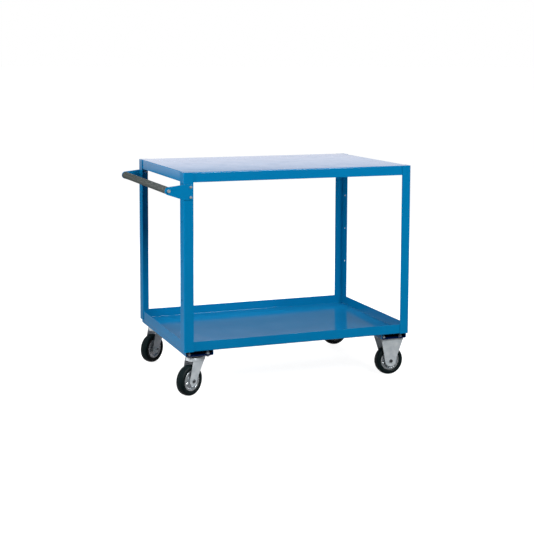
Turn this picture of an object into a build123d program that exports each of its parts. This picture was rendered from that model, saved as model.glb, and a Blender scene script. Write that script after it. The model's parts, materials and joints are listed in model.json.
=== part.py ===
from build123d import *
import math
import os

# Two-deck table trolley. Origin: on the floor, under the middle of the whole object.
# +X runs away from the push handle, +Y to the back, +Z up. All sizes are in millimetres.

# ------------------------------------------------------------------ driving sizes
# Frame, over the outside of the posts
frame_length = 1000.0
frame_width = 680.0
post_length = 720.0

# Corner posts, folded from flat steel
post_sheet = 3.0
post_front_flange = 40.0
post_side_flange = 50.0
post_bend_radius = 1.5
shelf_hole_diameter = 9.0
shelf_hole_from_corner = 27.0
shelf_hole_from_top = 198.0
shelf_hole_pitch = 157.0
shelf_hole_count = 3

# Decks
deck_sheet = 2.0
rim_height = 40.0
deck_bend_radius = 2.0

# Cross channels under the tray, which carry the casters
channel_depth = 20.0
channel_sheet = 3.0
channel_bend_radius = 2.0
channel_flat_margin = 0.5
channel_from_end = 8.0
channel_from_side = 5.0

# Push handle
handle_reach = 62.0
handle_below_rim = 30.0
tube_diameter = 25.0
tube_wall = 2.0
grip_thickness = 2.5
grip_end_gap = 3.0
plug_length = 30.0
bracket_sheet = 4.0
bracket_end_radius = 16.0
bracket_edge_inset = 4.0
bracket_below_rim = 7.0
bracket_height = 61.0
bracket_corner_radius = 3.0
bracket_bolt_from_edge = 8.0
bracket_bolt_spacing = 40.5

# Casters and their top plates
caster_plate_length = 105.0
caster_plate_width = 85.0
caster_plate_sheet = 3.0
caster_plate_corner_radius = 8.0
caster_plate_from_side = 12.5
caster_bolt_spacing_x = 80.0
caster_bolt_spacing_y = 60.0

# Wheels
wheel_diameter = 125.0
wheel_headroom = 40.0
tyre_width = 37.5
tyre_crown_drop = 1.3
tyre_shoulder_drop = 4.5
tyre_tread_share = 0.6
tyre_shoulder_share = 0.9
tyre_wall_step = 2.0
tyre_wall_draw = 1.2
rim_seat_diameter = 72.0
rim_lip_diameter = 84.0
rim_lip_inset = 3.25
rim_sheet = 2.0
web_half_spacing = 6.0
web_dish = 4.0
web_flat = 6.0
hub_side_gap = 3.0

# Axles and roller bearings
axle_hole_clearance = 0.2
sleeve_wall = 3.3
running_clearance = 0.05
roller_diameter = 4.0
roller_count = 12
roller_end_margin = 4.0
cage_margin = 0.225
pocket_clearance = 0.1

# Forks, pressed from sheet
fork_sheet = 3.0
fork_side_clearance = 3.25
fork_margin_slope = 6.0
fork_margin_at_axle = 2.0
fork_knee_share = 0.5
fixed_fork_margin = 4.0
fixed_fork_end_length = 50.0
fixed_fork_bend_radius = 4.0
swivel_fork_margin = 3.5
swivel_fork_spread = 4.0
swivel_fork_front = 34.0
swivel_fork_back = 38.0
swivel_fork_end_length = 41.0
crown_front = 37.0
crown_back = 46.0
crown_spread = 8.0
crown_depth = 14.0
crown_corner_radius = 24.0
crown_bend_radius = 5.0

# Swivel heads
swivel_trail = 40.0
swivel_rest_angles = {"front": 29.4, "back": 34.5}
bolt_head_clearance = 1.7
upper_ball_count = 16
lower_ball_count = 10
lower_bearing_gap = 6.0
lower_race_side_clearance = 1.5
lower_race_sheet = 3.0
king_pin_diameter = 12.0
king_pin_head_diameter = 22.0
king_pin_head_height = 5.0
crown_hole_clearance = 3.0
seal_diameter = 66.0
seal_wall = 4.0
face_gap = 0.3

# Hexagon fasteners, with the usual proportions of metric ones
flats_per_size = 1.5
flats_extra = 1.0
head_height_per_size = 0.6625
nut_height_per_size = 0.85
head_chamfer = 0.8
caster_bolt_size = 8.0
axle_bolt_size = 8.0
handle_bolt_size = 8.0
bracket_bolt_size = 6.0
bolt_hole_clearance = 0.5
washer_diameter_per_size = 2.0
washer_thickness = 1.6
handle_bolt_length = 24.0
thread_past_nut = 3.0

# ------------------------------------------------------------------ places worked out from them
wheel_radius = wheel_diameter / 2
caster_height = wheel_diameter + wheel_headroom
tray_underside = caster_height + channel_depth
top_height = tray_underside + post_length
whole_length = frame_length + handle_reach + bracket_end_radius
right_face = whole_length / 2
left_face = right_face - frame_length
middle_x = (left_face + right_face) / 2
front_face = -frame_width / 2
pan_length = frame_length - 2 * post_sheet
pan_width = frame_width - 2 * post_sheet

channel_width = caster_plate_length + 2 * (channel_sheet + channel_bend_radius + channel_flat_margin)
channel_length = frame_width - 2 * channel_from_side
caster_from_end = channel_from_end + channel_width / 2
caster_from_side = caster_plate_from_side + caster_plate_width / 2

handle_x = left_face - handle_reach
handle_z = top_height - rim_height - handle_below_rim
tube_radius = tube_diameter / 2
grip_radius = tube_radius + grip_thickness
bracket_top = rim_height + bracket_below_rim
bracket_over_post = post_front_flange - bracket_edge_inset

sleeve_bore_radius = axle_bolt_size / 2 + axle_hole_clearance
sleeve_radius = sleeve_bore_radius + sleeve_wall
cage_radius = sleeve_radius + running_clearance
hub_bore_radius = cage_radius + roller_diameter + 2 * cage_margin
fork_half_inside = tyre_width / 2 + fork_side_clearance
fork_width_at_axle = 2 * (fork_half_inside + fork_sheet)
hub_width = 2 * (fork_half_inside - hub_side_gap)
rim_lip_width = tyre_width - 2 * rim_lip_inset

plate_underside = caster_height - caster_plate_sheet
bearing_gap = head_height_per_size * caster_bolt_size + bolt_head_clearance
crown_top = plate_underside - bearing_gap
crown_underside = crown_top - fork_sheet
crown_hole_radius = king_pin_diameter / 2 + crown_hole_clearance
race_top = crown_underside - lower_bearing_gap
race_underside = race_top - lower_race_sheet
lower_race_radius = fork_half_inside - lower_race_side_clearance
upper_ball_ring_radius = (crown_hole_radius + seal_diameter / 2 - seal_wall) / 2
lower_ball_ring_radius = (crown_hole_radius + lower_race_radius) / 2

ON_FLOOR = (Align.CENTER, Align.CENTER, Align.MIN)
HANGING = (Align.CENTER, Align.CENTER, Align.MAX)

nodes = {}


def group(solids):
    """Several like pieces kept as separate solids in one node."""
    return Compound(children=list(solids))


def aimed(piece, point, direction):
    """Move a piece made at the origin so that its +Z points along direction at point."""
    return Plane(origin=point, z_dir=direction) * piece


# ------------------------------------------------------------------ fasteners
def hex_prism(size, height, hole_radius=0.0):
    """Hexagon for one bolt size, standing on z = 0 with its upper corners turned off."""
    across_flats = flats_per_size * size + flats_extra
    prism = extrude(RegularPolygon(across_flats / 2, 6, major_radius=False), height)
    turned = Cylinder(across_flats / math.sqrt(3), height, align=ON_FLOOR)
    turned = chamfer(turned.edges().group_by(Axis.Z)[-1], head_chamfer)
    prism = prism & turned
    if hole_radius:
        prism = prism - Cylinder(hole_radius, 4 * height)
    return prism


def hex_bolt(size, length):
    """Bolt with its head on z = 0 and its shank hanging below."""
    shank = Cylinder(size / 2, length, align=HANGING)
    shank = chamfer(shank.edges().group_by(Axis.Z)[0], size / 10)
    return hex_prism(size, head_height_per_size * size) + shank


def hex_nut(size):
    """Nut standing on z = 0, bored to the bolt's own size."""
    return hex_prism(size, nut_height_per_size * size, size / 2)


def washer(size):
    ring = Cylinder(washer_diameter_per_size * size / 2, washer_thickness, align=ON_FLOOR)
    return ring - Cylinder(size / 2, 4 * washer_thickness)


def bolt_hole(size, depth):
    return Cylinder(size / 2 + bolt_hole_clearance, depth)


def through_length(size, thickness):
    """Shank that clamps a thickness and stands past its nut."""
    return thickness + nut_height_per_size * size + thread_past_nut


# ------------------------------------------------------------------ frame
def angle_post():
    """Front left post, standing with its outer corner on the Z axis."""
    outline = Polyline(
        (0, 0),
        (post_front_flange, 0),
        (post_front_flange, post_sheet),
        (post_sheet, post_sheet),
        (post_sheet, post_side_flange),
        (0, post_side_flange),
        close=True,
    )
    section = make_face(outline)
    outer = section.vertices().sort_by_distance((0, 0, 0))[0]
    section = fillet(outer, post_sheet + post_bend_radius)
    inner = section.vertices().sort_by_distance((post_sheet, post_sheet, 0))[0]
    section = fillet(inner, post_bend_radius)
    post = extrude(section, post_length)
    for index in range(shelf_hole_count):
        height = post_length - shelf_hole_from_top - index * shelf_hole_pitch
        hole = Cylinder(shelf_hole_diameter / 2, 4 * post_sheet)
        post -= aimed(hole, (0, shelf_hole_from_corner, height), (1, 0, 0))
    return post


def bracket_bolt_points():
    """Places of one bracket's bolts, as x and z."""
    x = left_face + bracket_over_post - bracket_bolt_from_edge
    middle = top_height - bracket_top - bracket_height / 2
    return [(x, middle + side * bracket_bolt_spacing / 2) for side in (1, -1)]


def make_posts():
    post = Pos(left_face, front_face, tray_underside) * angle_post()
    for x, z in bracket_bolt_points():
        post -= aimed(bolt_hole(bracket_bolt_size, 4 * post_sheet), (x, front_face, z), (0, 1, 0))
    plain = Pos(left_face, front_face, tray_underside) * angle_post()
    across = Plane(origin=(middle_x, 0, 0), z_dir=(1, 0, 0))
    nodes["post_front_left"] = post
    nodes["post_back_left"] = mirror(post, Plane.XZ)
    nodes["post_front_right"] = mirror(plain, across)
    nodes["post_back_right"] = mirror(mirror(plain, across), Plane.XZ)


def folded_pan(length, width, height, sheet, bend_radius):
    """Tray folded from one sheet, with its floor on z = 0 and its rims standing up."""
    outside = Box(length, width, height, align=ON_FLOOR)
    outside = fillet(outside.edges().group_by(Axis.Z)[0], bend_radius + sheet)
    inside = Pos(Z=sheet) * Box(length - 2 * sheet, width - 2 * sheet, height, align=ON_FLOOR)
    inside = fillet(inside.edges().group_by(Axis.Z)[0], bend_radius)
    # The upright corners are cut back to clear the bends inside the posts.
    plan = chamfer(Rectangle(length, width).vertices(), post_bend_radius)
    return (outside - inside) & extrude(plan, height)


def make_decks():
    pan = folded_pan(pan_length, pan_width, rim_height, deck_sheet, deck_bend_radius)
    nodes["lower_tray"] = Pos(middle_x, 0, tray_underside) * pan
    nodes["top_deck"] = Pos(middle_x, 0, top_height) * Rot(X=180) * pan


def caster_places():
    """Centre of each caster's plate, by corner."""
    left = left_face + caster_from_end
    right = right_face - caster_from_end
    front = front_face + caster_from_side
    return {
        "front_left": (left, front),
        "back_left": (left, -front),
        "front_right": (right, front),
        "back_right": (right, -front),
    }


def caster_bolt_points():
    """Centre of every caster bolt, as x and y."""
    points = []
    for x, y in caster_places().values():
        for side_x in (-1, 1):
            for side_y in (-1, 1):
                dx = side_x * caster_bolt_spacing_x / 2
                dy = side_y * caster_bolt_spacing_y / 2
                points.append((x + dx, y + dy))
    return points


def make_channels():
    """Cross channels, open upwards and at both ends, with their web below."""
    outline = RectangleRounded(channel_width, 2 * channel_depth, channel_sheet + channel_bend_radius)
    hollow = RectangleRounded(
        channel_width - 2 * channel_sheet, 2 * (channel_depth - channel_sheet), channel_bend_radius
    )
    section = outline - hollow - Rectangle(2 * channel_width, channel_depth, align=(Align.CENTER, Align.MIN))
    # The section's own Y points up and its Z runs along the trolley's width.
    front_end = Plane(origin=(0, -channel_length / 2, tray_underside), x_dir=(-1, 0, 0), z_dir=(0, 1, 0))
    profile = front_end * section
    channel = extrude(profile, channel_length, dir=(0, 1, 0))
    for side, x in (("left", left_face + caster_from_end), ("right", right_face - caster_from_end)):
        placed = Pos(X=x) * channel
        for bolt_x, bolt_y in caster_bolt_points():
            if abs(bolt_x - x) < channel_width / 2:
                placed -= Pos(bolt_x, bolt_y, caster_height) * bolt_hole(caster_bolt_size, 4 * channel_sheet)
        nodes["caster_channel_" + side] = placed


def make_caster_fasteners():
    web_top = caster_height + channel_sheet
    length = through_length(caster_bolt_size, caster_plate_sheet + channel_sheet + washer_thickness)
    bolts = []
    nuts = []
    washers = []
    for x, y in caster_bolt_points():
        bolt = hex_bolt(caster_bolt_size, length)
        bolts.append(aimed(bolt, (x, y, plate_underside), (0, 0, -1)))
        washers.append(Pos(x, y, web_top) * washer(caster_bolt_size))
        nuts.append(Pos(x, y, web_top + washer_thickness) * hex_nut(caster_bolt_size))
    nodes["caster_bolts"] = group(bolts)
    nodes["caster_washers"] = group(washers)
    nodes["caster_nuts"] = group(nuts)


# ------------------------------------------------------------------ push handle
def bracket_plate():
    """Front bracket, seen from the front in the XZ plane, with its back on the post."""
    tip = Pos(handle_x, handle_z) * Circle(bracket_end_radius)
    pad = Rectangle(bracket_over_post, bracket_height, align=(Align.MIN, Align.MAX))
    pad = Pos(left_face, top_height - bracket_top) * pad
    outline = make_hull(tip.edges() + pad.edges())
    corners = outline.vertices().group_by(Axis.X)[-1]
    outline = fillet(corners, bracket_corner_radius)
    outline -= Pos(handle_x, handle_z) * Circle(handle_bolt_size / 2 + bolt_hole_clearance)
    for x, z in bracket_bolt_points():
        outline -= Pos(x, z) * Circle(bracket_bolt_size / 2 + bolt_hole_clearance)
    standing = Plane(origin=(0, front_face, 0), x_dir=(1, 0, 0), z_dir=(0, -1, 0)) * outline
    return extrude(standing, bracket_sheet, dir=(0, -1, 0))


def along_y(radius, start, end, hole_radius=0.0):
    """Round bar or tube on the handle's axis, from one y to another."""
    bar = Cylinder(radius, end - start, align=ON_FLOOR)
    if hole_radius:
        bar -= Cylinder(hole_radius, 4 * (end - start))
    return aimed(bar, (handle_x, start, handle_z), (0, 1, 0))


def make_handle():
    bracket = bracket_plate()
    nodes["handle_bracket_front"] = bracket
    nodes["handle_bracket_back"] = mirror(bracket, Plane.XZ)

    back_face = -front_face
    nodes["handle_tube"] = along_y(tube_radius, front_face, back_face, tube_radius - tube_wall)
    grip = along_y(grip_radius, front_face + grip_end_gap, back_face - grip_end_gap, tube_radius)
    nodes["handle_grip"] = grip

    thread_radius = handle_bolt_size / 2
    plug = along_y(tube_radius - tube_wall, front_face, front_face + plug_length, thread_radius)
    nodes["handle_plugs"] = group([plug, mirror(plug, Plane.XZ)])

    outer_face = front_face - bracket_sheet
    end_bolt = aimed(
        hex_bolt(handle_bolt_size, handle_bolt_length), (handle_x, outer_face, handle_z), (0, -1, 0)
    )
    nodes["handle_bolts"] = group([end_bolt, mirror(end_bolt, Plane.XZ)])

    bolt_length = through_length(bracket_bolt_size, bracket_sheet + post_sheet)
    bolts = []
    nuts = []
    for x, z in bracket_bolt_points():
        bolt = aimed(hex_bolt(bracket_bolt_size, bolt_length), (x, outer_face, z), (0, -1, 0))
        nut = aimed(hex_nut(bracket_bolt_size), (x, front_face + post_sheet, z), (0, 1, 0))
        bolts += [bolt, mirror(bolt, Plane.XZ)]
        nuts += [nut, mirror(nut, Plane.XZ)]
    nodes["bracket_bolts"] = group(bolts)
    nodes["bracket_nuts"] = group(nuts)


# ------------------------------------------------------------------ forks
def fork_section(front, back, width, margin, z, inset=0.0):
    """Level slice through a fork: a rectangle whose corners turn in by margin."""
    run = margin * fork_margin_slope
    half = width / 2
    outline = Polyline(
        (front + run, -half),
        (back - run, -half),
        (back, margin - half),
        (back, half - margin),
        (back - run, half),
        (front + run, half),
        (front, half - margin),
        (front, margin - half),
        close=True,
    )
    section = make_face(outline)
    if inset:
        section = offset(section, -inset, kind=Kind.INTERSECTION)
    return Pos(Z=z) * section


def fork_legs(top_z, front, back, width, margin, axle_x, end_length, bend_radius):
    """Two legs and the flat that joins them, upright beside the axle and spread above it.

    front and back are the leg's reach along X at top_z; end_length is its width at the axle."""
    end_radius = end_length / 2
    end_z = wheel_radius - end_radius
    knee_z = wheel_radius + end_radius * fork_knee_share
    rise = (knee_z - wheel_radius) / (top_z - wheel_radius)
    low_front = axle_x - end_radius
    low_back = axle_x + end_radius
    knee_front = low_front + (front - low_front) * rise
    knee_back = low_back + (back - low_back) * rise

    def shell(inset):
        low = fork_section(low_front, low_back, fork_width_at_axle, fork_margin_at_axle, end_z, inset)
        knee = fork_section(knee_front, knee_back, fork_width_at_axle, fork_margin_at_axle, knee_z, inset)
        top = fork_section(front, back, width, margin, top_z, inset)
        return loft([low, knee]) + loft([knee, top])

    outside = shell(0)
    if bend_radius:
        outside = fillet(outside.edges().group_by(Axis.Z)[-1], bend_radius)
    far = 4 * width
    inside = shell(fork_sheet) - Pos(Z=top_z - fork_sheet) * Box(far, far, far, align=ON_FLOOR)

    # The ends between the turned-in margins are open.
    low_half = fork_width_at_axle / 2 - fork_margin_at_axle
    top_half = width / 2 - margin
    open_z = top_z - fork_sheet
    open_half = top_half + (low_half - top_half) * fork_sheet / (top_z - knee_z)
    window = make_face(Polyline(
        (-low_half, end_z),
        (low_half, end_z),
        (low_half, knee_z),
        (open_half, open_z),
        (-open_half, open_z),
        (-low_half, knee_z),
        close=True,
    ))
    window = Plane(origin=(-far, 0, 0), x_dir=(0, 1, 0), z_dir=(1, 0, 0)) * window
    window = extrude(window, 2 * far, dir=(1, 0, 0))

    # Side view of a leg: straight edges running tangent into the round end.
    end = Pos(axle_x, wheel_radius) * Circle(end_radius)
    head = Pos(front, top_z) * Rectangle(back - front, fork_sheet, align=(Align.MIN, Align.MAX))
    side = make_hull(end.edges() + head.edges())
    side = Plane(origin=(0, far, 0), x_dir=(1, 0, 0), z_dir=(0, -1, 0)) * side
    side = extrude(side, 2 * far, dir=(0, -1, 0))

    legs = (outside - inside - window) & side
    hole = Cylinder(sleeve_bore_radius, far)
    return legs - aimed(hole, (axle_x, 0, wheel_radius), (0, 1, 0))


def fixed_fork():
    """Fixed caster's fork: its top plate and both legs are one pressing."""
    half = caster_plate_length / 2
    fork = fork_legs(
        caster_height, -half, half, caster_plate_width, fixed_fork_margin,
        0, fixed_fork_end_length, fixed_fork_bend_radius,
    )
    for hole in plate_bolt_holes():
        fork -= hole
    return fork


def plate_bolt_holes():
    holes = []
    for side_x in (-1, 1):
        for side_y in (-1, 1):
            x = side_x * caster_bolt_spacing_x / 2
            y = side_y * caster_bolt_spacing_y / 2
            holes.append(Pos(x, y, caster_height) * bolt_hole(caster_bolt_size, 4 * caster_plate_sheet))
    return holes


def swivel_fork():
    """Swivel fork about the Z axis, with its wheel trailing along +X."""
    legs = fork_legs(
        crown_top, -swivel_fork_front, swivel_fork_back, fork_width_at_axle + swivel_fork_spread,
        swivel_fork_margin, swivel_trail, swivel_fork_end_length, 0,
    )
    crown_width = fork_width_at_axle + crown_spread
    crown_length = crown_front + crown_back
    crown_middle = (crown_back - crown_front) / 2
    outer_plan = RectangleRounded(crown_length, crown_width, crown_corner_radius)
    inner_plan = RectangleRounded(
        crown_length - 2 * fork_sheet, crown_width - 2 * fork_sheet, crown_corner_radius - fork_sheet
    )
    cap = extrude(outer_plan, crown_depth)
    cap = fillet(cap.edges().group_by(Axis.Z)[-1], crown_bend_radius)
    hollow = extrude(inner_plan, crown_depth - fork_sheet)
    hollow = fillet(hollow.edges().group_by(Axis.Z)[-1], crown_bend_radius - fork_sheet)
    crown = Pos(crown_middle, 0, crown_top - crown_depth) * (cap - hollow)
    pin_hole = Pos(Z=crown_top) * Cylinder(crown_hole_radius, 4 * fork_sheet)
    return legs + crown - pin_hole


# ------------------------------------------------------------------ swivel bearing
def ball_ring(ring_radius, count, z_low, gap):
    """Balls in the gap between two faces, each clear of both."""
    radius = gap / 2 - face_gap
    balls = []
    for index in range(count):
        angle = 2 * math.pi * index / count
        x = ring_radius * math.cos(angle)
        y = ring_radius * math.sin(angle)
        balls.append(Pos(x, y, z_low + gap / 2) * Sphere(radius))
    return balls


def swivel_plate():
    plan = RectangleRounded(caster_plate_length, caster_plate_width, caster_plate_corner_radius)
    plate = Pos(Z=plate_underside) * extrude(plan, caster_plate_sheet)
    plate -= Pos(Z=caster_height) * Cylinder(king_pin_diameter / 2, 4 * caster_plate_sheet)
    for hole in plate_bolt_holes():
        plate -= hole
    return plate


def king_pin():
    """Rivet through plate and lower race, with its head underneath."""
    shank_low = race_underside - king_pin_head_height
    shank = Cylinder(king_pin_diameter / 2, caster_height - shank_low, align=ON_FLOOR)
    head = Cylinder(king_pin_head_diameter / 2, king_pin_head_height, align=ON_FLOOR)
    head = fillet(head.edges().group_by(Axis.Z)[0], king_pin_head_height / 3)
    return Pos(Z=shank_low) * (shank + head)


def lower_race():
    race = Pos(Z=race_underside) * Cylinder(lower_race_radius, lower_race_sheet, align=ON_FLOOR)
    return race - Pos(Z=race_underside) * Cylinder(king_pin_diameter / 2, 4 * lower_race_sheet)


def seal_ring():
    height = bearing_gap - face_gap
    ring = Cylinder(seal_diameter / 2, height, align=HANGING)
    ring -= Cylinder(seal_diameter / 2 - seal_wall, 4 * height)
    return Pos(Z=plate_underside) * ring


# ------------------------------------------------------------------ wheels, axle along Y at the origin
def spun(points):
    """Ring made by turning an outline, given as radius and y, about the Y axis."""
    outline = make_face(Polyline(*points, close=True))
    return revolve(outline, Axis.Y)


def tyre():
    """Solid rubber tyre with a crowned tread, seated in the rim."""
    half = tyre_width / 2
    seat = rim_seat_diameter / 2
    lip = rim_lip_diameter / 2
    lip_inside = rim_lip_width / 2 - rim_sheet
    tread_half = tyre_tread_share * half
    tread_radius = wheel_radius - tyre_crown_drop
    shoulder_radius = wheel_radius - tyre_shoulder_drop
    shoulder_half = tyre_shoulder_share * half
    wall_low = lip + tyre_wall_step
    wall_low_half = half - tyre_wall_draw
    wall_top = (lip + tread_radius) / 2 + tyre_wall_step
    wall_middle = (wall_low + wall_top) / 2

    def wall(side):
        """Corners of one side wall, from the rim to the tread."""
        return [
            (lip, side * lip_inside),
            (wall_low, side * wall_low_half),
            (wall_middle, side * half),
            (wall_top, side * half),
            (shoulder_radius, side * shoulder_half),
            (tread_radius, side * tread_half),
        ]

    edges = [Line((seat, -lip_inside), (seat, lip_inside))]
    for side in (1, -1):
        rim_corner, low, middle, top, shoulder, tread = wall(side)
        edges.append(Line((seat, side * lip_inside), rim_corner))
        edges.append(Line(rim_corner, low))
        edges.append(Line(low, middle))
        edges.append(Line(middle, top))
        edges.append(ThreePointArc(top, shoulder, tread))
    edges.append(ThreePointArc((tread_radius, tread_half), (wheel_radius, 0), (tread_radius, -tread_half)))
    return revolve(make_face(edges), Axis.Y)


def rim_half():
    """Pressed disc on the +Y side: seat, lip, dished web and hub collar."""
    seat = rim_seat_diameter / 2
    lip = rim_lip_diameter / 2
    lip_outside = rim_lip_width / 2
    bore = hub_bore_radius
    collar = bore + rim_sheet
    web = web_half_spacing
    seat_inside = seat - rim_sheet
    dish_end = collar + web_flat
    points = [
        (seat, 0),
        (seat, lip_outside - rim_sheet),
        (lip, lip_outside - rim_sheet),
        (lip, lip_outside),
        (seat_inside, lip_outside),
        (seat_inside, web + rim_sheet),
        (dish_end, web + rim_sheet + web_dish),
        (collar, web + rim_sheet + web_dish),
        (collar, hub_width / 2),
        (bore, hub_width / 2),
        (bore, web + web_dish),
        (dish_end, web + web_dish),
        (seat_inside, web),
        (seat_inside, 0),
    ]
    return spun(points)


def roller_bearing():
    """Cage and its rollers, which run on the axle sleeve."""
    pitch = (cage_radius + hub_bore_radius) / 2
    roller_length = hub_width - 2 * roller_end_margin
    cage = Cylinder(hub_bore_radius, hub_width) - Cylinder(cage_radius, 2 * hub_width)
    rollers = []
    for index in range(roller_count):
        angle = 2 * math.pi * index / roller_count
        place = Pos(pitch * math.cos(angle), pitch * math.sin(angle), 0)
        pocket_length = roller_length + 2 * pocket_clearance
        cage -= place * Cylinder(roller_diameter / 2 + pocket_clearance, pocket_length)
        rollers.append(place * Cylinder(roller_diameter / 2, roller_length))
    return [Rot(X=90) * piece for piece in [cage] + rollers]


def axle_sleeve():
    sleeve = Cylinder(sleeve_radius, 2 * fork_half_inside)
    bore = Cylinder(sleeve_bore_radius, 4 * fork_half_inside)
    return Rot(X=90) * (sleeve - bore)


def axle_bolt():
    length = through_length(axle_bolt_size, fork_width_at_axle)
    return aimed(hex_bolt(axle_bolt_size, length), (0, -fork_width_at_axle / 2, 0), (0, -1, 0))


def axle_nut():
    return aimed(hex_nut(axle_bolt_size), (0, fork_width_at_axle / 2, 0), (0, 1, 0))


def add_wheel(corner, place):
    nodes["tyre_" + corner] = place * tyre()
    nodes["rim_outer_" + corner] = place * mirror(rim_half(), Plane.XZ)
    nodes["rim_inner_" + corner] = place * rim_half()
    nodes["roller_bearing_" + corner] = group(place * piece for piece in roller_bearing())


def make_casters():
    fixed_sleeves = []
    fixed_bolts = []
    fixed_nuts = []
    for corner, (x, y) in caster_places().items():
        row, side = corner.split("_")
        # Front casters show their bolt heads to the front, back casters to the back.
        outward = Rot(Z=0 if row == "front" else 180)
        if side == "right":
            axle = Pos(x, y, wheel_radius) * outward
            nodes["fixed_fork_" + corner] = Pos(x, y, 0) * fixed_fork()
            add_wheel(corner, axle)
            fixed_sleeves.append(axle * axle_sleeve())
            fixed_bolts.append(axle * axle_bolt())
            fixed_nuts.append(axle * axle_nut())
            continue
        stand = Pos(x, y, 0)
        turned = stand * Rot(Z=180 + swivel_rest_angles[row])
        axle = turned * Pos(swivel_trail, 0, wheel_radius) * Rot(Z=180) * outward
        balls = ball_ring(upper_ball_ring_radius, upper_ball_count, crown_top, bearing_gap)
        balls += ball_ring(lower_ball_ring_radius, lower_ball_count, race_top, lower_bearing_gap)
        nodes["swivel_plate_" + corner] = stand * swivel_plate()
        nodes["swivel_seal_" + corner] = stand * seal_ring()
        nodes["swivel_balls_" + corner] = group(stand * ball for ball in balls)
        nodes["lower_race_" + corner] = stand * lower_race()
        nodes["king_pin_" + corner] = stand * king_pin()
        nodes["swivel_fork_" + corner] = turned * swivel_fork()
        nodes["axle_sleeve_" + corner] = axle * axle_sleeve()
        nodes["axle_bolt_" + corner] = axle * axle_bolt()
        nodes["axle_nut_" + corner] = axle * axle_nut()
        add_wheel(corner, axle)
    nodes["fixed_axle_sleeves"] = group(fixed_sleeves)
    nodes["fixed_axle_bolts"] = group(fixed_bolts)
    nodes["fixed_axle_nuts"] = group(fixed_nuts)


# ------------------------------------------------------------------ build and write
make_posts()
make_decks()
make_channels()
make_caster_fasteners()
make_handle()
make_casters()

os.makedirs("parts", exist_ok=True)
for name, shape in nodes.items():
    export_step(shape, "parts/" + name + ".step")
print(len(nodes), "nodes written")
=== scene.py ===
# %% [markdown]
# A table trolley of folded sheet steel stands on a plain studio floor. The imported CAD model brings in
# every part at its real size and place, in metres. This lesson lights it, gives each part its finish,
# and models again the pieces whose form comes from a mould, a press or a spinning lathe.

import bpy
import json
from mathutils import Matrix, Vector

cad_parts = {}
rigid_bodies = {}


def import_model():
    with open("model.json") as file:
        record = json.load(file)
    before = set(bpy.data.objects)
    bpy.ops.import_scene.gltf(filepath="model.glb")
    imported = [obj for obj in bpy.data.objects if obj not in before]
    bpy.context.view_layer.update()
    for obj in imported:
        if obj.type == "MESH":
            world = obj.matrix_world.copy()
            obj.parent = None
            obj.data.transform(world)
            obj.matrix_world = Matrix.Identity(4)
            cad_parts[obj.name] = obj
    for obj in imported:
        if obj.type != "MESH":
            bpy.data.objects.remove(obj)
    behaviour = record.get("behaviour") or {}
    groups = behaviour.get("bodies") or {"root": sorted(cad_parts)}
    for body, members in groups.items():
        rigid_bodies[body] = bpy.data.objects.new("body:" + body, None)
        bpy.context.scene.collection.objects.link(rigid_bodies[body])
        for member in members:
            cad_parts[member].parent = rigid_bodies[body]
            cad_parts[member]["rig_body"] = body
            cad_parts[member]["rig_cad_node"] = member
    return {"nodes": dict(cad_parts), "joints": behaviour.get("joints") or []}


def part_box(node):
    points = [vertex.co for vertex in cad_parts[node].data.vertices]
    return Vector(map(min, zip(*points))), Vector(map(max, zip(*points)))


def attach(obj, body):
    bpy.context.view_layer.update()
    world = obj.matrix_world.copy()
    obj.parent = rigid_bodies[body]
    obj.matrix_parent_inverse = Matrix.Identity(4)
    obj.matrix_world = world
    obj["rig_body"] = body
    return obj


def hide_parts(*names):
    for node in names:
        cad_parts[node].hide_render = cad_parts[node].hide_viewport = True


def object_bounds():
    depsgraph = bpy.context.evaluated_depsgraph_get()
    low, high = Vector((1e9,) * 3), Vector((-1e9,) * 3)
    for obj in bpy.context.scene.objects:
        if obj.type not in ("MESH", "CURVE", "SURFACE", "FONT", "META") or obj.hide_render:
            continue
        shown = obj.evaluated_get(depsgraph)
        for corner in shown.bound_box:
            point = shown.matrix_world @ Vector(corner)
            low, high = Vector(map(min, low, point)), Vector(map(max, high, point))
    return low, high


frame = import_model()
cad_bounds = [list(corner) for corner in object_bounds()]

import json
import math

import bmesh
import bpy
from mathutils import Matrix, Vector

scene = bpy.context.scene
nodes = frame["nodes"]
joints = {joint["name"]: joint for joint in frame["joints"]}
print("CAD box", cad_bounds)

# %% [markdown]
# The camera is a long lens, far back and a little above the top. Tilting a lens down makes upright
# posts lean together, so the picture plane stays nearly upright and slides instead, which is what a
# camera's shift does. The view is given as a compass turn, a small downward pitch and a tiny roll.

# %% Camera
camera_place = Vector((-1.7993, -4.7357, 1.3449))
camera_turn = math.radians(-21.009)
camera_pitch = math.radians(-5.846)
camera_roll = math.radians(0.206)

camera_data = bpy.data.cameras.new("studio_camera")
camera_data.lens = 76.98
camera_data.sensor_width = 36.0
camera_data.shift_y = -0.1718
camera = bpy.data.objects.new("studio_camera", camera_data)
scene.collection.objects.link(camera)
camera.matrix_world = (
    Matrix.Translation(camera_place)
    @ Matrix.Rotation(camera_turn, 4, "Z")
    @ Matrix.Rotation(math.pi / 2 + camera_pitch, 4, "X")
    @ Matrix.Rotation(camera_roll, 4, "Z")
)
scene.camera = camera
scene.view_settings.view_transform = "Standard"
print("lens", camera_data.lens, "mm, shift", camera_data.shift_y)

# %% [markdown]
# Glossy paint shows what stands around it, so the room matters as much as the lamps. Its sky ball is
# bright in a low band behind the trolley, like a lit white sweep, and dark in front, where the camera
# stands in an unlit studio. The level decks are seen at a flat angle and mirror the band, so the blue
# top looks nearly white, and the front faces mirror the dark side and stay a deep blue.
# Rays straight from the camera see plain white, and the soft light that fills the shadows is even.
# Each band is a height, from 0 straight down to 1 straight up, and the strength of its light.

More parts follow.
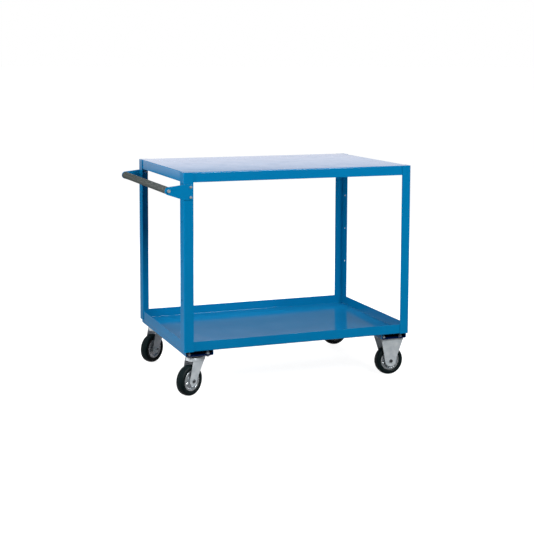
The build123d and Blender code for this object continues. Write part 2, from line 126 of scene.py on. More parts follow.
# %% Room
first_colour, second_colour, mixed_colour = 6, 7, 2  # a Mix node's colour sockets, by number
backdrop_tint = (1.02, 0.965, 1.01)
band_heights = [
    (0.30, 0.30), (0.379, 0.25), (0.40, 0.14), (0.435, 0.02), (0.4510, 0.02), (0.4555, 0.42), (0.460, 0.55),
    (0.50, 0.95), (0.56, 1.0), (0.59, 0.34), (0.61, 0.13), (0.75, 0.22), (1.0, 0.60),
]

world = bpy.data.worlds.new("studio")
scene.world = world
world.use_nodes = True
sky = world.node_tree
sky.nodes.clear()
compass = sky.nodes.new("ShaderNodeTexCoord")
direction = sky.nodes.new("ShaderNodeSeparateXYZ")
bands = sky.nodes.new("ShaderNodeValToRGB")
while len(bands.color_ramp.elements) > 1:
    bands.color_ramp.elements.remove(bands.color_ramp.elements[-1])
for height, light in band_heights:
    band = bands.color_ramp.elements.new(height)
    band.color = [light * share for share in backdrop_tint] + [1.0]
bands.color_ramp.elements.remove(bands.color_ramp.elements[0])
up = sky.nodes.new("ShaderNodeMapRange")
up.inputs["From Min"].default_value = -1.0
behind = sky.nodes.new("ShaderNodeMapRange")
behind.interpolation_type = "SMOOTHSTEP"
behind.inputs["From Min"].default_value = -0.55
behind.inputs["From Max"].default_value = 0.05
behind.inputs["To Min"].default_value = 0.02
sideways = sky.nodes.new("ShaderNodeMapRange")
sideways.inputs["From Min"].default_value = 0.25
sideways.inputs["From Max"].default_value = 0.50
sideways.inputs["To Min"].default_value = 1.04
sideways.inputs["To Max"].default_value = 0.92
strength = sky.nodes.new("ShaderNodeMath")
strength.operation = "MULTIPLY"
mirrored = sky.nodes.new("ShaderNodeMix")
mirrored.data_type = "RGBA"
mirrored.blend_type = "MULTIPLY"
mirrored.inputs["Factor"].default_value = 1.0
mirror_room = sky.nodes.new("ShaderNodeBackground")
fill_room = sky.nodes.new("ShaderNodeBackground")
fill_room.inputs["Color"].default_value = (0.80, 0.81, 0.83, 1.0)
fill_room.inputs["Strength"].default_value = 0.36
white_room = sky.nodes.new("ShaderNodeBackground")
white_room.inputs["Color"].default_value = (1.0, 1.0, 1.0, 1.0)
ray = sky.nodes.new("ShaderNodeLightPath")
glossy_or_soft = sky.nodes.new("ShaderNodeMixShader")
seen_or_felt = sky.nodes.new("ShaderNodeMixShader")
sky_out = sky.nodes.new("ShaderNodeOutputWorld")
for start, end in (
    (compass.outputs["Generated"], direction.inputs["Vector"]),
    (direction.outputs["Z"], up.inputs["Value"]),
    (up.outputs["Result"], bands.inputs["Fac"]),
    (direction.outputs["Y"], behind.inputs["Value"]),
    (bands.outputs["Color"], mirrored.inputs[first_colour]),
    (direction.outputs["X"], sideways.inputs["Value"]),
    (behind.outputs["Result"], strength.inputs[0]),
    (sideways.outputs["Result"], strength.inputs[1]),
    (strength.outputs["Value"], mirrored.inputs[second_colour]),
    (mirrored.outputs[mixed_colour], mirror_room.inputs["Color"]),
    (ray.outputs["Is Glossy Ray"], glossy_or_soft.inputs["Fac"]),
    (fill_room.outputs["Background"], glossy_or_soft.inputs[1]),
    (mirror_room.outputs["Background"], glossy_or_soft.inputs[2]),
    (ray.outputs["Is Camera Ray"], seen_or_felt.inputs["Fac"]),
    (glossy_or_soft.outputs["Shader"], seen_or_felt.inputs[1]),
    (white_room.outputs["Background"], seen_or_felt.inputs[2]),
    (seen_or_felt.outputs["Shader"], sky_out.inputs["Surface"]),
):
    sky.links.new(start, end)
print("sky bands", [round(band.position, 2) for band in bands.color_ramp.elements])

# %% [markdown]
# Four soft boxes do the rest: a key in front and above, a weak one at the handle end, one overhead and
# one behind that lifts the back posts. Big lamps give the soft, wide gloss that sheet metal shows in a
# studio. Only the key is mirrored in the paint, or each box would leave its own bright patch there.
# A lamp points along its own -Z, so its turn is taken from the line to the trolley.

# %% Lamps
low_corner, high_corner = (Vector(corner) for corner in cad_bounds)
trolley_middle = (low_corner + high_corner) / 2


def soft_box(name, place, width, depth, power):
    """A rectangular studio lamp that faces the trolley."""
    data = bpy.data.lights.new(name, "AREA")
    data.shape = "RECTANGLE"
    data.size = width
    data.size_y = depth
    data.energy = power
    lamp = bpy.data.objects.new(name, data)
    scene.collection.objects.link(lamp)
    lamp.location = place
    lamp.rotation_euler = (trolley_middle - Vector(place)).to_track_quat("-Z", "Y").to_euler()
    return lamp


soft_box("key_lamp", (0.9, -3.3, 2.8), width=2.0, depth=1.4, power=140)
for lamp in (
    soft_box("side_lamp", (-1.9, -0.4, 0.9), width=1.0, depth=1.0, power=26),
    soft_box("top_lamp", (0.0, 0.6, 3.6), width=2.0, depth=1.5, power=50),
    soft_box("back_lamp", (0.3, 3.2, 1.9), width=3.0, depth=1.0, power=85),
):
    lamp.visible_glossy = False

# %% [markdown]
# A model from CAD arrives selected, and operators act on everything that is selected. So each step
# starts by selecting only its own piece, and in edit mode the parts of a mesh are picked by a test on
# their place. These helpers do that everywhere below.

# %% Selecting
def only(*pieces):
    """Selects these pieces and nothing else. The last one is active."""
    bpy.ops.object.select_all(action="DESELECT")
    for piece in pieces:
        piece.select_set(True)
    bpy.context.view_layer.objects.active = pieces[-1]


def edit(piece, kind="VERT"):
    """Opens a piece in edit mode, set to pick corners, edges or faces."""
    only(piece)
    bpy.ops.object.mode_set(mode="EDIT")
    bpy.ops.mesh.select_mode(type=kind)


def pick(piece, kind, test):
    """In edit mode, selects only the corners, edges or faces that pass the test. Returns how many."""
    bpy.ops.mesh.select_mode(type=kind)
    bpy.ops.mesh.select_all(action="DESELECT")
    mesh = bmesh.from_edit_mesh(piece.data)
    elements = {"VERT": mesh.verts, "EDGE": mesh.edges, "FACE": mesh.faces}[kind]
    found = [element for element in elements if test(element)]
    for element in found:
        element.select_set(True)
    bmesh.update_edit_mesh(piece.data)
    return len(found)


def finish_edit():
    """Closes edit mode, which writes the changes into the mesh."""
    bpy.ops.object.mode_set(mode="OBJECT")


# %% [markdown]
# The trolley stands on a pale studio floor, one very large plane, so that no edge or skyline shows in
# any view. The paint doesn't mirror it, or the lower faces would show a grey plain instead of the lit
# sweep.

# %% Floor
floor_size = 400
bpy.ops.object.select_all(action="DESELECT")
bpy.ops.mesh.primitive_plane_add(size=floor_size, location=(0, 0, low_corner.z))
floor = bpy.context.object
floor.name = "studio_floor"
bpy.ops.object.transform_apply(location=True, rotation=True, scale=True)
floor.visible_glossy = False
print("floor at", round(low_corner.z, 4), "m")

# %% [markdown]
# A few effects turn up in more than one finish: the faint ripple of sprayed paint, slow drifts of
# tone, fine rubbing marks, and dust on level faces. Each is a node group, built once, so one material
# can use it strongly and another hardly at all. A group gives out only a mask, a colour or a normal.

# %% Group helpers
def shared_effect(name, inputs, outputs):
    """An empty node group. Inputs are (name, kind, first value) and outputs are (name, kind)."""
    group = bpy.data.node_groups.new(name, "ShaderNodeTree")
    for label, kind, value in inputs:
        socket = group.interface.new_socket(label, in_out="INPUT", socket_type="NodeSocket" + kind)
        socket.default_value = value
    for label, kind in outputs:
        group.interface.new_socket(label, in_out="OUTPUT", socket_type="NodeSocket" + kind)
    return group, group.nodes.new("NodeGroupInput"), group.nodes.new("NodeGroupOutput")


def node(tree, kind, values=None, **settings):
    """A node of one kind, with its settings and the values of its sockets."""
    made = tree.nodes.new("ShaderNode" + kind)
    for key, value in settings.items():
        setattr(made, key, value)
    for socket, value in (values or {}).items():
        made.inputs[socket].default_value = value
    return made


def wire(tree, *pairs):
    """Links each (output, input) pair of sockets."""
    for start, end in pairs:
        tree.links.new(start, end)


# %% [markdown]
# Powder melts into a skin that is never quite flat, and a reflection in it shimmers. Modelling that
# ripple would take millions of faces, so a noise pattern drives a Bump node, which only tilts the
# light. The pattern reads Object coordinates, in metres, so it stays put on each part.

# %% Sprayed paint ripple
ripple_depth = 0.0003
paint_ripple, given, result = shared_effect(
    "sprayed_ripple", [("Size", "Float", 350.0), ("Strength", "Float", 0.1)], [("Normal", "Vector")]
)
place = node(paint_ripple, "TexCoord")
ripple = node(paint_ripple, "TexNoise", {"Detail": 2.0})
bump = node(paint_ripple, "Bump", {"Distance": ripple_depth})
wire(
    paint_ripple,
    (place.outputs["Object"], ripple.inputs["Vector"]),
    (given.outputs["Size"], ripple.inputs["Scale"]),
    (ripple.outputs["Fac"], bump.inputs["Height"]),
    (given.outputs["Strength"], bump.inputs["Strength"]),
    (bump.outputs["Normal"], result.inputs["Normal"]),
)
print(paint_ripple.name, "made")

# %% [markdown]
# No real surface has one even tone or gloss. This effect is a soft cloud that runs between a low and
# a high value, and nearly every finish uses it twice: once for its colour and once for its roughness.
# Noise seldom reaches 0 or 1, so the middle of its range is stretched to the full width.

# %% Slow drift
slow_drift, given, result = shared_effect(
    "slow_drift",
    [("Size", "Float", 6.0), ("Low", "Float", 0.3), ("High", "Float", 0.7)],
    [("Amount", "Float")],
)
place = node(slow_drift, "TexCoord")
cloud = node(slow_drift, "TexNoise", {"Detail": 5.0, "Roughness": 0.6})
spread = node(slow_drift, "MapRange", {"From Min": 0.35, "From Max": 0.65})
wire(
    slow_drift,
    (place.outputs["Object"], cloud.inputs["Vector"]),
    (given.outputs["Size"], cloud.inputs["Scale"]),
    (cloud.outputs["Fac"], spread.inputs["Value"]),
    (given.outputs["Low"], spread.inputs["To Min"]),
    (given.outputs["High"], spread.inputs["To Max"]),
    (spread.outputs["Result"], result.inputs["Amount"]),
)
print(slow_drift.name, "made")

# %% [markdown]
# Handling leaves fine marks that run mostly one way. Multiplying the coordinates by unequal numbers
# squeezes a noise pattern into streaks, and a narrow Map Range keeps only its peaks as marks.

# %% Fine rubbing marks
rub_marks, given, result = shared_effect(
    "rub_marks",
    [("Size", "Float", 30.0), ("Stretch", "Vector", (1.0, 1.0, 12.0)), ("Share", "Float", 0.4)],
    [("Mask", "Float")],
)
place = node(rub_marks, "TexCoord")
pulled = node(rub_marks, "VectorMath", operation="MULTIPLY")
marks = node(rub_marks, "TexNoise", {"Detail": 6.0, "Roughness": 0.7, "Distortion": 0.4})
cut = node(rub_marks, "MapRange", {"From Min": 0.56, "From Max": 0.72})
wire(
    rub_marks,
    (place.outputs["Object"], pulled.inputs[0]),
    (given.outputs["Stretch"], pulled.inputs[1]),
    (pulled.outputs["Vector"], marks.inputs["Vector"]),
    (given.outputs["Size"], marks.inputs["Scale"]),
    (marks.outputs["Fac"], cut.inputs["Value"]),
    (given.outputs["Share"], cut.inputs["To Max"]),
    (cut.outputs["Result"], result.inputs["Mask"]),
)
print(rub_marks.name, "made")

# %% [markdown]
# Dust falls straight down, so it settles on faces that look up. The Z of a face's normal says how
# level it is, and a noise pattern breaks the dust into uneven patches.

# %% Settled dust
settled_dust, given, result = shared_effect("settled_dust", [("Share", "Float", 0.1)], [("Mask", "Float")])
place = node(settled_dust, "TexCoord")
facing = node(settled_dust, "NewGeometry")
upward = node(settled_dust, "SeparateXYZ")
level = node(settled_dust, "MapRange", {"From Min": 0.7, "From Max": 1.0})
patches = node(settled_dust, "TexNoise", {"Scale": 9.0, "Detail": 8.0, "Roughness": 0.65})
uneven = node(settled_dust, "Math", operation="MULTIPLY")
amount = node(settled_dust, "Math", operation="MULTIPLY", use_clamp=True)
wire(
    settled_dust,
    (facing.outputs["Normal"], upward.inputs["Vector"]),
    (upward.outputs["Z"], level.inputs["Value"]),
    (place.outputs["Object"], patches.inputs["Vector"]),
    (level.outputs["Result"], uneven.inputs[0]),
    (patches.outputs["Fac"], uneven.inputs[1]),
    (uneven.outputs["Value"], amount.inputs[0]),
    (given.outputs["Share"], amount.inputs[1]),
    (amount.outputs["Value"], result.inputs["Mask"]),
)
print(settled_dust.name, "made")

# %% [markdown]
# A finish is a Principled shader whose colour, roughness and normal come from those effects. What is
# the same all over a surface, such as how much of a metal it is, is set on the shader itself.

# %% Finish helpers
def card(red, green, blue):
    """A colour-card value, 0 to 255, as the linear colour that shaders use."""
    shares = [value / 255 for value in (red, green, blue)]
    return tuple(s / 12.92 if s <= 0.04045 else ((s + 0.055) / 1.055) ** 2.4 for s in shares) + (1.0,)


def new_finish(name, **uniform):
    """A material with a Principled shader. Keywords set its sockets, as in coat_weight=0.5."""
    material = bpy.data.materials.new(name)
    material.use_nodes = True
    tree = material.node_tree
    shader = tree.nodes["Principled BSDF"]
    names = {socket.name.lower().replace(" ", "_"): socket for socket in shader.inputs}
    for key, value in uniform.items():
        names[key].default_value = value
    return material, tree, shader


def effect(tree, group, **values):
    """A group node, with the values of its sockets."""
    made = tree.nodes.new("ShaderNodeGroup")
    made.node_tree = group
    for key, value in values.items():
        made.inputs[key.title()].default_value = value
    return made


def blend_colours(tree, mask, first, second):
    """The colour socket that goes from first to second as the mask goes from 0 to 1."""
    mix = node(tree, "Mix", data_type="RGBA")
    wire(tree, (mask, mix.inputs["Factor"]))
    for number, value in ((first_colour, first), (second_colour, second)):
        if isinstance(value, bpy.types.NodeSocket):
            wire(tree, (value, mix.inputs[number]))
        else:
            mix.inputs[number].default_value = value
    return mix.outputs[mixed_colour]


def drifting_tone(tree, size, first, second):
    """A colour that drifts between two tones."""
    drift = effect(tree, slow_drift, size=size, low=0.0, high=1.0)
    return blend_colours(tree, drift.outputs["Amount"], first, second)


def drifting_gloss(tree, shader, size, low, high):
    """Lets the shader's roughness drift between two values."""
    drift = effect(tree, slow_drift, size=size, low=low, high=high)
    wire(tree, (drift.outputs["Amount"], shader.inputs["Roughness"]))


def fine_grain(tree, shader, size, detail, strength, depth):
    """Bumps the surface with fine noise, and returns the noise."""
    place = node(tree, "TexCoord")
    grain = node(tree, "TexNoise", {"Scale": size, "Detail": detail})
    skin = node(tree, "Bump", {"Strength": strength, "Distance": depth})
    wire(
        tree,
        (place.outputs["Object"], grain.inputs["Vector"]),
        (grain.outputs["Fac"], skin.inputs["Height"]),
        (skin.outputs["Normal"], shader.inputs["Normal"]),
    )
    return grain.outputs["Fac"]


# %% [markdown]
# The frame is powder coated in a strong sky blue. The powder melts into a smooth, glossy skin with a
# faint ripple, and the tone drifts a little where it is thicker. Dust dulls only the level faces.
# Two finishes share this coat, so a function builds it and leaves the base colour to be wired.

# %% Blue powder coat
dust_colour = (0.45, 0.47, 0.50, 1)


def powder_coat(name):
    """A material with the blue coat, all but its base colour. Returns it, its tree, shader and colour."""
    coat, tree, shader = new_finish(name, ior=1.5)
    tone = drifting_tone(tree, 3.0, (0.0004, 0.156, 0.358, 1), (0.0008, 0.172, 0.384, 1))
    dust = effect(tree, settled_dust, share=0.02)
    dusty = blend_colours(tree, dust.outputs["Mask"], tone, dust_colour)
    drifting_gloss(tree, shader, 14.0, low=0.08, high=0.13)
    ripple = effect(tree, paint_ripple, size=300.0, strength=0.006)
    wire(tree, (ripple.outputs["Normal"], shader.inputs["Normal"]))
    return coat, tree, shader, dusty


blue_coat, tree, shader, colour = powder_coat("blue_powder_coat")
wire(tree, (colour, shader.inputs["Base Color"]))
print(blue_coat.name, "made")

# %% [markdown]
# The channels sit in the shade of the tray above. So all of each channel but its outer side walls gets
# a dark blue that is painted shade, while the walls keep the plain coat. Both channels stand as far from
# the middle of the decks, so one distance along X tells the inside of both from their outer faces.

# %% Painted shade inside the channels
# A dark blue painted on as the shade inside the channels. It is not a coat of its own.
painted_channel_shade = (0.0004, 0.008, 0.055, 1)
shade_edge_inset = 0.0013
shade_edge_blur = 0.0003

deck_low, deck_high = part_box("top_deck")
deck_middle = (deck_low.x + deck_high.x) / 2
channel_low, channel_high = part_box("caster_channel_left")
channel_from_middle = deck_middle - (channel_low.x + channel_high.x) / 2
inside_half = (channel_high.x - channel_low.x) / 2 - shade_edge_inset

channel_coat_with_painted_shade, tree, shader, colour = powder_coat("blue_coat_on_channel")
place = node(tree, "TexCoord")
along = node(tree, "SeparateXYZ")
from_middle = node(tree, "Math", {1: deck_middle}, operation="SUBTRACT")
either_side = node(tree, "Math", operation="ABSOLUTE")
from_channel = node(tree, "Math", {1: channel_from_middle}, operation="SUBTRACT")
off_centre = node(tree, "Math", operation="ABSOLUTE")
inside = node(
    tree, "MapRange", {"From Min": inside_half + shade_edge_blur, "From Max": inside_half - shade_edge_blur}
)
# Inside each channel the coat's colour gives way to the painted shade.
shaded = blend_colours(tree, inside.outputs["Result"], colour, painted_channel_shade)
wire(
    tree,
    (place.outputs["Object"], along.inputs["Vector"]),
    (along.outputs["X"], from_middle.inputs[0]),
    (from_middle.outputs["Value"], either_side.inputs[0]),
    (either_side.outputs["Value"], from_channel.inputs[0]),
    (from_channel.outputs["Value"], off_centre.inputs[0]),
    (off_centre.outputs["Value"], inside.inputs["Value"]),
    (shaded, shader.inputs["Base Color"]),
)
print(channel_coat_with_painted_shade.name, "made")

# %% [markdown]
# The forks and mounting plates are pressed from steel and zinc plated. Zinc grows in small crystals,
# which a Voronoi pattern gives as shallow bumps, and it is dull where thick and bright where rubbed.
# It is part metal and part dull skin, so its metallic value stays well below 1.

# %% Zinc plated pressings
rubbed_zinc = (0.92, 0.95, 0.97, 1)

zinc_plate, tree, shader = new_finish("zinc_plated_pressing", metallic=0.4)
place = node(tree, "TexCoord")
crystals = node(tree, "TexVoronoi", {"Scale": 260.0})
relief = node(tree, "Bump", {"Strength": 0.10, "Distance": 0.0003})
drift = effect(tree, slow_drift, size=26.0, low=0.0, high=1.0)
gloss = node(tree, "MapRange", {"To Min": 0.34, "To Max": 0.50})
rubbed = effect(tree, rub_marks, size=60.0, stretch=(1.0, 1.0, 6.0), share=0.6)
tone = blend_colours(tree, drift.outputs["Amount"], (0.60, 0.67, 0.71, 1), (0.80, 0.85, 0.88, 1))
worn = blend_colours(tree, rubbed.outputs["Mask"], tone, rubbed_zinc)
wire(
    tree,
    (place.outputs["Object"], crystals.inputs["Vector"]),
    (crystals.outputs["Distance"], relief.inputs["Height"]),
    (drift.outputs["Amount"], gloss.inputs["Value"]),
    (worn, shader.inputs["Base Color"]),
    (gloss.outputs["Result"], shader.inputs["Roughness"]),
    (relief.outputs["Normal"], shader.inputs["Normal"]),
)
print(zinc_plate.name, "made")

# %% [markdown]
# Small metal pieces need no grain of their own: at their size, a tone and a gloss that drift are
# enough. The bolts and nuts are bright zinc, the pressed rims a little brighter, the axle bolts dark
# with oil, and the balls and rollers bare steel under a film of grease, which is a clear coat.

# %% Plain metals
def plain_metal(name, tones, tone_size, roughness, gloss_size, **uniform):
    """A metal whose tone drifts between two colours, and its roughness between two values."""
    metal, tree, shader = new_finish(name, **uniform)
    wire(tree, (drifting_tone(tree, tone_size, *tones), shader.inputs["Base Color"]))
    drifting_gloss(tree, shader, gloss_size, *roughness)
    print(name, "made")
    return metal


zinc_bolt = plain_metal(
    "zinc_plated_fastener", tones=((0.55, 0.62, 0.66, 1), (0.72, 0.79, 0.82, 1)), tone_size=90.0,
    roughness=(0.22, 0.36), gloss_size=150.0, metallic=0.7,
)
rim_zinc = plain_metal(
    "zinc_plated_rim", tones=((0.56, 0.62, 0.66, 1), (0.82, 0.86, 0.88, 1)), tone_size=40.0,
    roughness=(0.20, 0.34), gloss_size=70.0, metallic=0.75,
)
oiled_bolt = plain_metal(
    "oiled_axle_bolt", tones=((0.10, 0.11, 0.12, 1), (0.20, 0.21, 0.22, 1)), tone_size=90.0,
    roughness=(0.30, 0.45), gloss_size=150.0, metallic=0.8,
)
bearing_steel = plain_metal(
    "greased_bearing_steel", tones=((0.36, 0.36, 0.35, 1), (0.60, 0.60, 0.60, 1)), tone_size=120.0,
    roughness=(0.12, 0.28), gloss_size=200.0, metallic=1.0, coat_weight=0.4,
)

# %% [markdown]
# The tyres are solid black rubber. Black rubber still has a tone, here a little towards blue-green,
# and a dull skin with a very fine grain. A low specular level keeps its gloss soft.

# %% Tyre rubber
tyre_rubber, tree, shader = new_finish("tyre_rubber", specular_ior_level=0.22)
fine_grain(tree, shader, size=900.0, detail=3.0, strength=0.25, depth=0.0002)
tone = drifting_tone(tree, 30.0, (0.0015, 0.0066, 0.0076, 1), (0.0040, 0.0105, 0.0115, 1))
drifting_gloss(tree, shader, 45.0, low=0.42, high=0.60)
wire(tree, (tone, shader.inputs["Base Color"]))
print(tyre_rubber.name, "made")

# %% [markdown]
# The grip is a soft grey sleeve. Its pores show twice, as bumps and as lighter specks, so one noise
# pattern drives both, and the two always fall in the same places.

# %% Grip sleeve
grip_sleeve, tree, shader = new_finish("grip_sleeve", ior=1.48)
pores = fine_grain(tree, shader, size=700.0, detail=3.0, strength=0.35, depth=0.0003)
specks = node(tree, "MapRange", {"From Min": 0.42, "From Max": 0.66})
tone = blend_colours(tree, specks.outputs["Result"], card(46, 54, 52), card(76, 82, 78))
drifting_gloss(tree, shader, 30.0, low=0.50, high=0.64)
wire(tree, (pores, specks.inputs["Value"]), (tone, shader.inputs["Base Color"]))
print(grip_sleeve.name, "made")

# %% [markdown]
# The swivel heads' dust seals and the plugs in the handle's ends are moulded in black plastic, smoother
# and shinier than the tyres, with the faint texture that a mould leaves.

# %% Black moulded plastic
black_plastic, tree, shader = new_finish("black_moulded_plastic", ior=1.46)
fine_grain(tree, shader, size=1500.0, detail=2.0, strength=0.2, depth=0.0001)
tone = drifting_tone(tree, 40.0, (0.012, 0.012, 0.014, 1), (0.022, 0.022, 0.024, 1))
drifting_gloss(tree, shader, 60.0, low=0.35, high=0.50)
wire(tree, (tone, shader.inputs["Base Color"]))
print(black_plastic.name, "made")

# %% [markdown]
# The floor is dull and only gently uneven. To a camera it has to look as white as the backdrop, yet
# light bounced from it would wash out the blue, so its paint is grey and it glows for camera rays only.

# %% Studio floor paint
glow_for_camera = 0.92

floor_paint, tree, shader = new_finish(
    "studio_floor", roughness=0.9, specular_ior_level=0.0, emission_color=(1, 1, 1, 1)
)
tone = drifting_tone(tree, 0.6, (0.30, 0.30, 0.30, 1), (0.33, 0.33, 0.33, 1))
ray = node(tree, "LightPath")
glow = node(tree, "Math", {1: glow_for_camera}, operation="MULTIPLY")
wire(
    tree,
    (tone, shader.inputs["Base Color"]),
    (ray.outputs["Is Camera Ray"], glow.inputs[0]),
    (glow.outputs["Value"], shader.inputs["Emission Strength"]),
)
floor.data.materials.append(floor_paint)
print(floor_paint.name, "made")

# %% [markdown]
# Every part has a named slot in the record, which says what it is made of, and the slot picks the
# finish. A few parts of one slot differ in wear or plating, and the channels carry painted shade, so
# they are picked by name instead.

# %% Finishes by slot
finish_of_slot = {
    "blue_paint": blue_coat,
    "zinc_plate": zinc_plate,
    "zinc_fastener": zinc_bolt,
    "bearing_steel": bearing_steel,
    "tyre_rubber": tyre_rubber,
    "grip_sleeve": grip_sleeve,
    "black_plastic": black_plastic,
}
own_finish = {
    # The channels' finish carries painted shade inside them.
    "caster_channel_": channel_coat_with_painted_shade,
    "rim_": rim_zinc,
    "axle_bolt_": oiled_bolt,
    "fixed_axle_bolts": oiled_bolt,
}
slot_of_node = {}
finish_of_node = {}
for name, part in nodes.items():
    slot_of_node[name] = part.data.materials[0].name.split(".")[0]
    special = [finish for start, finish in own_finish.items() if name.startswith(start)]
    finish_of_node[name] = special[0] if special else finish_of_slot[slot_of_node[name]]
    part.data.materials.clear()
    part.data.materials.append(finish_of_node[name])
print("finished", len(nodes), "nodes:", sorted(set(slot_of_node.values())))

# %% [markdown]
# Sheet metal never has a knife edge: shears and dies leave each edge slightly rolled, and that thin
# line catches the light. CAD leaves its edges sharp. So each pressing is copied, its loose triangles
# are merged into whole faces, and a bevel modifier rounds every edge that turns sharply. The copy
# rides on the same body as its CAD part and replaces it.

# %% Softened copies
sheet_edge = 0.0004
same_point = 1e-6
flat_within = math.radians(0.5)
sharp_from = math.radians(35.0)


def softened(name):
    """A copy of a CAD node with its sharp edges rounded. It stands for that node."""
    source = nodes[name]
    piece = source.copy()
    piece.data = source.data.copy()
    piece.name = name + "_soft"
    piece.parent = None
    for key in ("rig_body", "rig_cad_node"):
        del piece[key]
    scene.collection.objects.link(piece)
    edit(piece)
    bpy.ops.mesh.select_all(action="SELECT")
    bpy.ops.mesh.remove_doubles(threshold=same_point)
    bpy.ops.mesh.customdata_custom_splitnormals_clear()
    bpy.ops.mesh.dissolve_limited(angle_limit=flat_within)
    finish_edit()
    rounding = piece.modifiers.new("rolled_edges", "BEVEL")
    rounding.width = sheet_edge
    rounding.segments = 2
    rounding.limit_method = "ANGLE"
    rounding.angle_limit = sharp_from
    rounding.harden_normals = True
    bpy.ops.object.shade_smooth_by_angle(angle=sharp_from)
    bpy.ops.object.modifier_apply(modifier="rolled_edges")
    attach(piece, source["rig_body"])
    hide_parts(name)
    return piece


# %% [markdown]
# These are the pressings: the posts, both decks and the channels of the frame, the handle's brackets,
# and in the casters the forks, the mounting plates and the lower races.

# %% Softened pressings
pressings = (
    "post_", "top_deck", "lower_tray", "caster_channel_", "handle_bracket_",
    "fixed_fork_", "swivel_fork_", "swivel_plate_", "lower_race_",
)
for name in sorted(nodes):
    if name.startswith(pressings):
        piece = softened(name)
        print(piece.name, len(piece.data.polygons), "faces")

# %% [markdown]
# A wheel is a set of turned forms, and the mesh way to turn one is the way a lathe does: draw half of
# its outline, round the corners, then sweep it once round the axle. The outline is pulled out of one
# point, corner by corner, and the spin tool sweeps it.

# %% Turned pieces
def turned(name, outline, rounded, steps=96):
    """A ring swept round the Y axis from a closed outline of (radius, y) corners, in metres.
    rounded gives (corner number, size, segments) for each corner that is rounded off."""
    bpy.ops.object.select_all(action="DESELECT")
    bpy.ops.mesh.primitive_plane_add(size=0.01)
    piece = bpy.context.object
    piece.name = name
    piece.data.name = name
    corners = [Vector((radius, y, 0.0)) for radius, y in outline]
    edit(piece)
    bpy.ops.mesh.select_all(action="SELECT")
    bpy.ops.mesh.merge(type="CENTER")
    bpy.ops.transform.translate(value=corners[0])
    for start, end in zip(corners, corners[1:] + corners[:1]):
        bpy.ops.mesh.extrude_region_move(TRANSFORM_OT_translate={"value": end - start})
    bpy.ops.mesh.select_all(action="SELECT")
    bpy.ops.mesh.remove_doubles(threshold=same_point)
    for number, size, segments in rounded:
        corner = corners[number]
        pick(piece, "VERT", lambda vertex: (vertex.co - corner).length < same_point)
        bpy.ops.mesh.bevel(offset=size, segments=segments, affect="VERTICES")
    bpy.ops.mesh.select_all(action="SELECT")
    bpy.ops.mesh.spin(steps=steps, angle=2 * math.pi, center=(0, 0, 0), axis=(0, 1, 0))
    bpy.ops.mesh.select_all(action="SELECT")
    bpy.ops.mesh.remove_doubles(threshold=same_point)
    bpy.ops.mesh.normals_make_consistent(inside=False)
    finish_edit()
    return piece


def smoothed(piece):
    """Shades a turned piece smooth, but for its sharp corners."""
    only(piece)
    bpy.ops.object.shade_smooth_by_angle(angle=math.radians(40))
    print(piece.name, len(piece.data.polygons), "faces")


def millimetres(*corners):
    """Corners drawn in millimetres, as metres."""
    return [(a / 1000, b / 1000) for a, b in corners]


# %% [markdown]
# A solid tyre is moulded, so both its sides are alike. Its outline runs from the rim out along the
# foot, over a thin bead that grips the rim, up the wall and round the shoulder to the crown. Half of
# it is drawn, and the other half is the same corners with the side changed.

# %% Tyre
tyre_half = [
    (36.0, 13.5), (42.0, 13.5), (43.6, 16.9), (45.4, 18.1), (46.2, 17.8), (47.2, 18.4), (51.5, 18.75),
    (58.6, 17.0), (61.5, 10.5), (62.3, 0.8),
]
tyre_crown = (62.5, 0.0)
bead_rounding = (0.0004, 2)
half_roundings = {
    3: bead_rounding, 5: bead_rounding, 6: (0.0025, 4), 7: (0.0035, 6), 8: (0.0035, 4),
}
other_half = [(radius, -side) for radius, side in reversed(tyre_half)]
tyre_outline = tyre_half + [tyre_crown] + other_half
last_corner = len(tyre_outline) - 1
tyre_roundings = [(number, *how) for number, how in half_roundings.items()]
tyre_roundings += [(last_corner - number, *how) for number, how in half_roundings.items()]

tyre_model = turned("tyre", millimetres(*tyre_outline), tyre_roundings)
smoothed(tyre_model)

# %% [markdown]
# The rim is two pressed steel discs, back to back. Each has a seat for the tyre, a lip, a dished web
# and a collar round the bearing. The press also sinks six shallow hollows into the web, to stiffen
# it. The disc is turned first. Then the web's faces in each hollow are picked and inset twice: once
# for the sloping side of the hollow and once for its rounded floor.

# %% Rim disc
rim_outline = [
    (36.0, 0.0), (36.0, 13.5), (42.0, 13.5), (42.0, 15.5), (34.0, 15.5), (34.0, 8.0), (20.0, 12.0),
    (15.0, 12.0), (15.0, 19.0), (12.9, 19.0), (12.9, 10.0), (20.0, 10.0), (34.0, 6.0), (34.0, 0.0),
]
rim_roundings = [
    (1, 0.0008, 2), (2, 0.0006, 2), (3, 0.0012, 4), (4, 0.0016, 4), (5, 0.0018, 4), (6, 0.0014, 3),
    (7, 0.0012, 3), (8, 0.0005, 2),
]
hollow_count = 6
hollow_half_angle = math.radians(19)
hollow_inner_radius = 0.0205
hollow_outer_radius = 0.0322
hollow_side = 0.0012
hollow_floor_edge = 0.0010
hollow_floor_drop = 0.0004
facing_outward = 0.8


def in_hollow(face):
    """True for a face on the visible side of the web, in one of the pressed hollows."""
    middle = face.calc_center_median()
    radius = math.hypot(middle.x, middle.z)
    step = 2 * math.pi / hollow_count
    turn = math.atan2(middle.z, middle.x) % step
    near = min(turn, step - turn) < hollow_half_angle
    return near and hollow_inner_radius < radius < hollow_outer_radius and face.normal.y > facing_outward


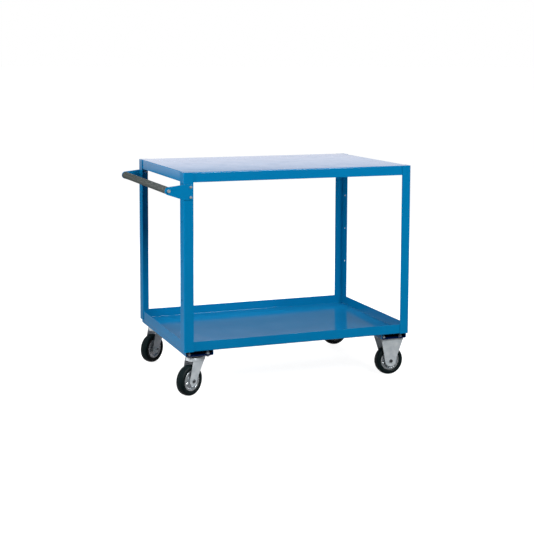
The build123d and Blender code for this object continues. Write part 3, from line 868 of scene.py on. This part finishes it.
rim_model = turned("rim", millimetres(*rim_outline), rim_roundings)
edit(rim_model, "FACE")
print("faces in the hollows:", pick(rim_model, "FACE", in_hollow))
bpy.ops.mesh.inset(thickness=hollow_side, depth=-hollow_side, use_even_offset=True)
bpy.ops.mesh.inset(thickness=hollow_floor_edge, depth=-hollow_floor_drop, use_even_offset=True)
finish_edit()
smoothed(rim_model)

# %% [markdown]
# The models so far lie at the origin with their axle along Y. Each copy is turned to its own wheel's
# axle and moved there, and the move is then written into its mesh, so that every finished piece sits
# at the origin like the CAD parts. The inner rim disc is the outer one turned half round.

# %% Placing the wheels
def placed(model, name, matrix, body, cad_node):
    """A copy of a model with its own mesh, moved into place, that stands for a CAD node."""
    piece = model.copy()
    piece.data = model.data.copy()
    piece.name = name
    piece.data.name = name
    piece.data.transform(matrix)
    piece.data.materials.clear()
    piece.data.materials.append(finish_of_node[cad_node])
    scene.collection.objects.link(piece)
    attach(piece, body)
    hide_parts(cad_node)
    return piece


half_round = Matrix.Rotation(math.pi, 4, "Z")
for corner in ("front_left", "back_left", "front_right", "back_right"):
    spin = joints["wheel_spin_" + corner]
    axle = Vector(spin["axis"]).normalized()
    outward = axle if corner.startswith("back") else -axle
    turn = Matrix.Rotation(math.atan2(-outward.x, outward.y), 4, "Z")
    stand = Matrix.Translation(Vector(spin["pos_m"])) @ turn
    body = "wheel_" + corner
    placed(tyre_model, "tyre_piece_" + corner, stand, body, "tyre_" + corner)
    placed(rim_model, "rim_outer_piece_" + corner, stand, body, "rim_outer_" + corner)
    placed(rim_model, "rim_inner_piece_" + corner, stand @ half_round, body, "rim_inner_" + corner)
    print(corner, "axle at", [round(value, 4) for value in spin["pos_m"]])

# %% [markdown]
# The grip is a sleeve pushed over the handle's tube, with a slightly thicker band at each end and soft
# corners there. It is turned like the wheels, and its length comes from its CAD part.

# %% Grip
tube_radius = 12.5
grip_radius = 14.6
band_radius = 15.0
band_length = 5.0
band_slope = 1.5

grip_low, grip_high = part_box("handle_grip")
grip_half = (grip_high.y - grip_low.y) / 2 * 1000
band_end = grip_half - band_length
grip_model = turned(
    "grip",
    millimetres(
        (tube_radius, -grip_half), (band_radius, -grip_half), (band_radius, -band_end),
        (grip_radius, band_slope - band_end), (grip_radius, band_end - band_slope),
        (band_radius, band_end), (band_radius, grip_half), (tube_radius, grip_half),
    ),
    [(1, 0.0012, 4), (2, 0.0006, 2), (5, 0.0006, 2), (6, 0.0012, 4)],
    steps=64,
)
smoothed(grip_model)
grip_place = Matrix.Translation((grip_low + grip_high) / 2)
placed(grip_model, "grip_piece", grip_place, "chassis", "handle_grip")
print("grip", round(2 * grip_half), "mm long")

# %% [markdown]
# The three models have done their work. They still stand at the origin, inside the trolley, so they
# are removed, and only their placed copies stay.

# %% Clear the models away
for model in (tyre_model, rim_model, grip_model):
    bpy.data.objects.remove(model)
